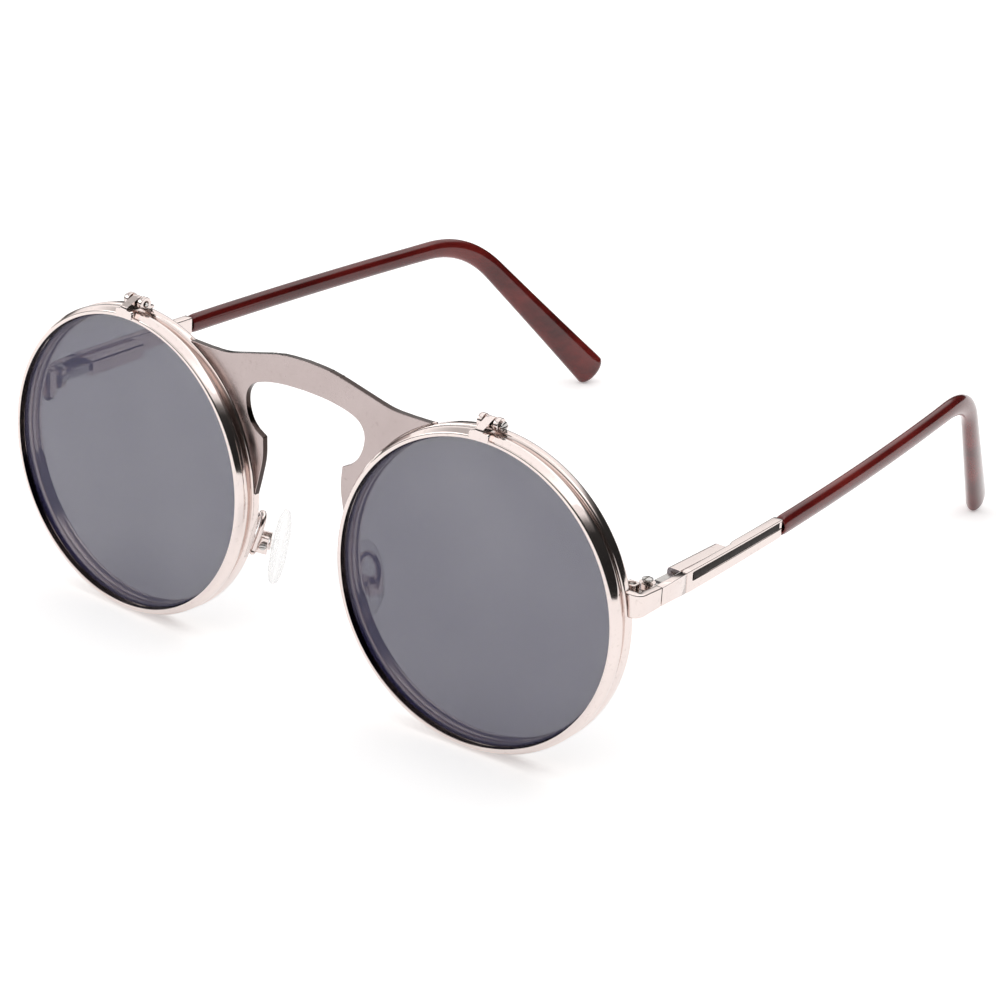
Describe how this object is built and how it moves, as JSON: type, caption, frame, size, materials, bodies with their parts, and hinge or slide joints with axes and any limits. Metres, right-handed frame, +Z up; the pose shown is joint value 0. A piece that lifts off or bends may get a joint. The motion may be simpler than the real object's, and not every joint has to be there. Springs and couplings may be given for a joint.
{
  "type": "flip-up sunglasses",
  "caption": "Round metal spectacles with separately hinged flip-up tinted lenses, keyhole bridge plate, spring-hinged folding temples and rocking nose pads.",
  "frame": {"origin": "centre of the footprint, on the plane that the rims and the temple ends stand on", "axes": "+Z up, -Y out of the front of the lenses, +Y back along the temples, +X to the wearer's left"},
  "size_m": [0.13, 0.1511, 0.0561],
  "materials": {
    "rose_metal": "polished, pale rose silver",
    "screw_steel": "satin",
    "tinted_lens": "even grey-violet tint",
    "clear_lens": "clear",
    "tip_plastic": "glossy, dark red-brown, slightly translucent",
    "pad_silicone": "soft and translucent"
  },
  "bodies": {
    "front": {"bridge_plate": "rose_metal", "left_rim": "rose_metal", "left_base_lens": "clear_lens", "left_flip_yoke": "rose_metal", "left_flip_screw": "screw_steel", "left_endpiece": "rose_metal", "left_rim_lock": "rose_metal", "left_rim_lock_screw": "screw_steel", "left_hinge_screw": "screw_steel", "left_pad_arm": "rose_metal", "left_pad_box": "rose_metal", "left_pad_screw": "screw_steel", "right_rim": "rose_metal", "right_base_lens": "clear_lens", "right_flip_yoke": "rose_metal", "right_flip_screw": "screw_steel", "right_endpiece": "rose_metal", "right_rim_lock": "rose_metal", "right_rim_lock_screw": "screw_steel", "right_hinge_screw": "screw_steel", "right_pad_arm": "rose_metal", "right_pad_box": "rose_metal", "right_pad_screw": "screw_steel"},
    "left_flip": {"left_flip_ring": "rose_metal", "left_flip_lens": "tinted_lens", "left_flip_knuckle": "rose_metal"},
    "left_pad": {"left_nose_pad": "pad_silicone"},
    "left_slider": {"left_hinge_slider": "screw_steel", "left_spring_nut": "screw_steel", "left_hinge_spring": "screw_steel"},
    "left_temple": {"left_temple_arm": "rose_metal", "left_temple_tip": "tip_plastic", "left_spring_box": "rose_metal", "left_spring_box_plug": "rose_metal"},
    "right_flip": {"right_flip_ring": "rose_metal", "right_flip_lens": "tinted_lens", "right_flip_knuckle": "rose_metal"},
    "right_pad": {"right_nose_pad": "pad_silicone"},
    "right_slider": {"right_hinge_slider": "screw_steel", "right_spring_nut": "screw_steel", "right_hinge_spring": "screw_steel"},
    "right_temple": {"right_temple_arm": "rose_metal", "right_temple_tip": "tip_plastic", "right_spring_box": "rose_metal", "right_spring_box_plug": "rose_metal"}
  },
  "joints": [
    {"name": "left_flip", "type": "hinge", "parent": "front", "child": "left_flip", "pos_m": [0.0366, -0.0721, 0.0549], "axis": [-0.999, -0.0436, 0], "range_deg": [0, 100]},
    {"name": "left_fold", "type": "hinge", "parent": "front", "child": "left_slider", "pos_m": [0.06205, -0.0639, 0.0323], "axis": [0, 0, 1], "range_deg": [0, 85]},
    {"name": "left_flex", "type": "slide", "parent": "left_slider", "child": "left_temple", "axis": [0, 1, 0], "range_m": [0, 0.001], "stiffness_N_per_m": 1500, "springref_m": -0.001, "deforming": ["left_hinge_spring"]},
    {"name": "left_pad_rock", "type": "hinge", "parent": "front", "child": "left_pad", "pos_m": [0.01136, -0.06711, 0.0181], "axis": [0.4226, 0.9063, 0], "range_deg": [-8, 8]},
    {"name": "right_flip", "type": "hinge", "parent": "front", "child": "right_flip", "pos_m": [-0.0366, -0.0721, 0.0549], "axis": [-0.999, 0.0436, 0], "range_deg": [0, 100]},
    {"name": "right_fold", "type": "hinge", "parent": "front", "child": "right_slider", "pos_m": [-0.06205, -0.0639, 0.0323], "axis": [0, 0, -1], "range_deg": [0, 64]},
    {"name": "right_flex", "type": "slide", "parent": "right_slider", "child": "right_temple", "axis": [0, 1, 0], "range_m": [0, 0.001], "stiffness_N_per_m": 1500, "springref_m": -0.001, "deforming": ["right_hinge_spring"]},
    {"name": "right_pad_rock", "type": "hinge", "parent": "front", "child": "right_pad", "pos_m": [-0.01136, -0.06711, 0.0181], "axis": [-0.4226, 0.9063, 0], "range_deg": [-8, 8]}
  ]
}
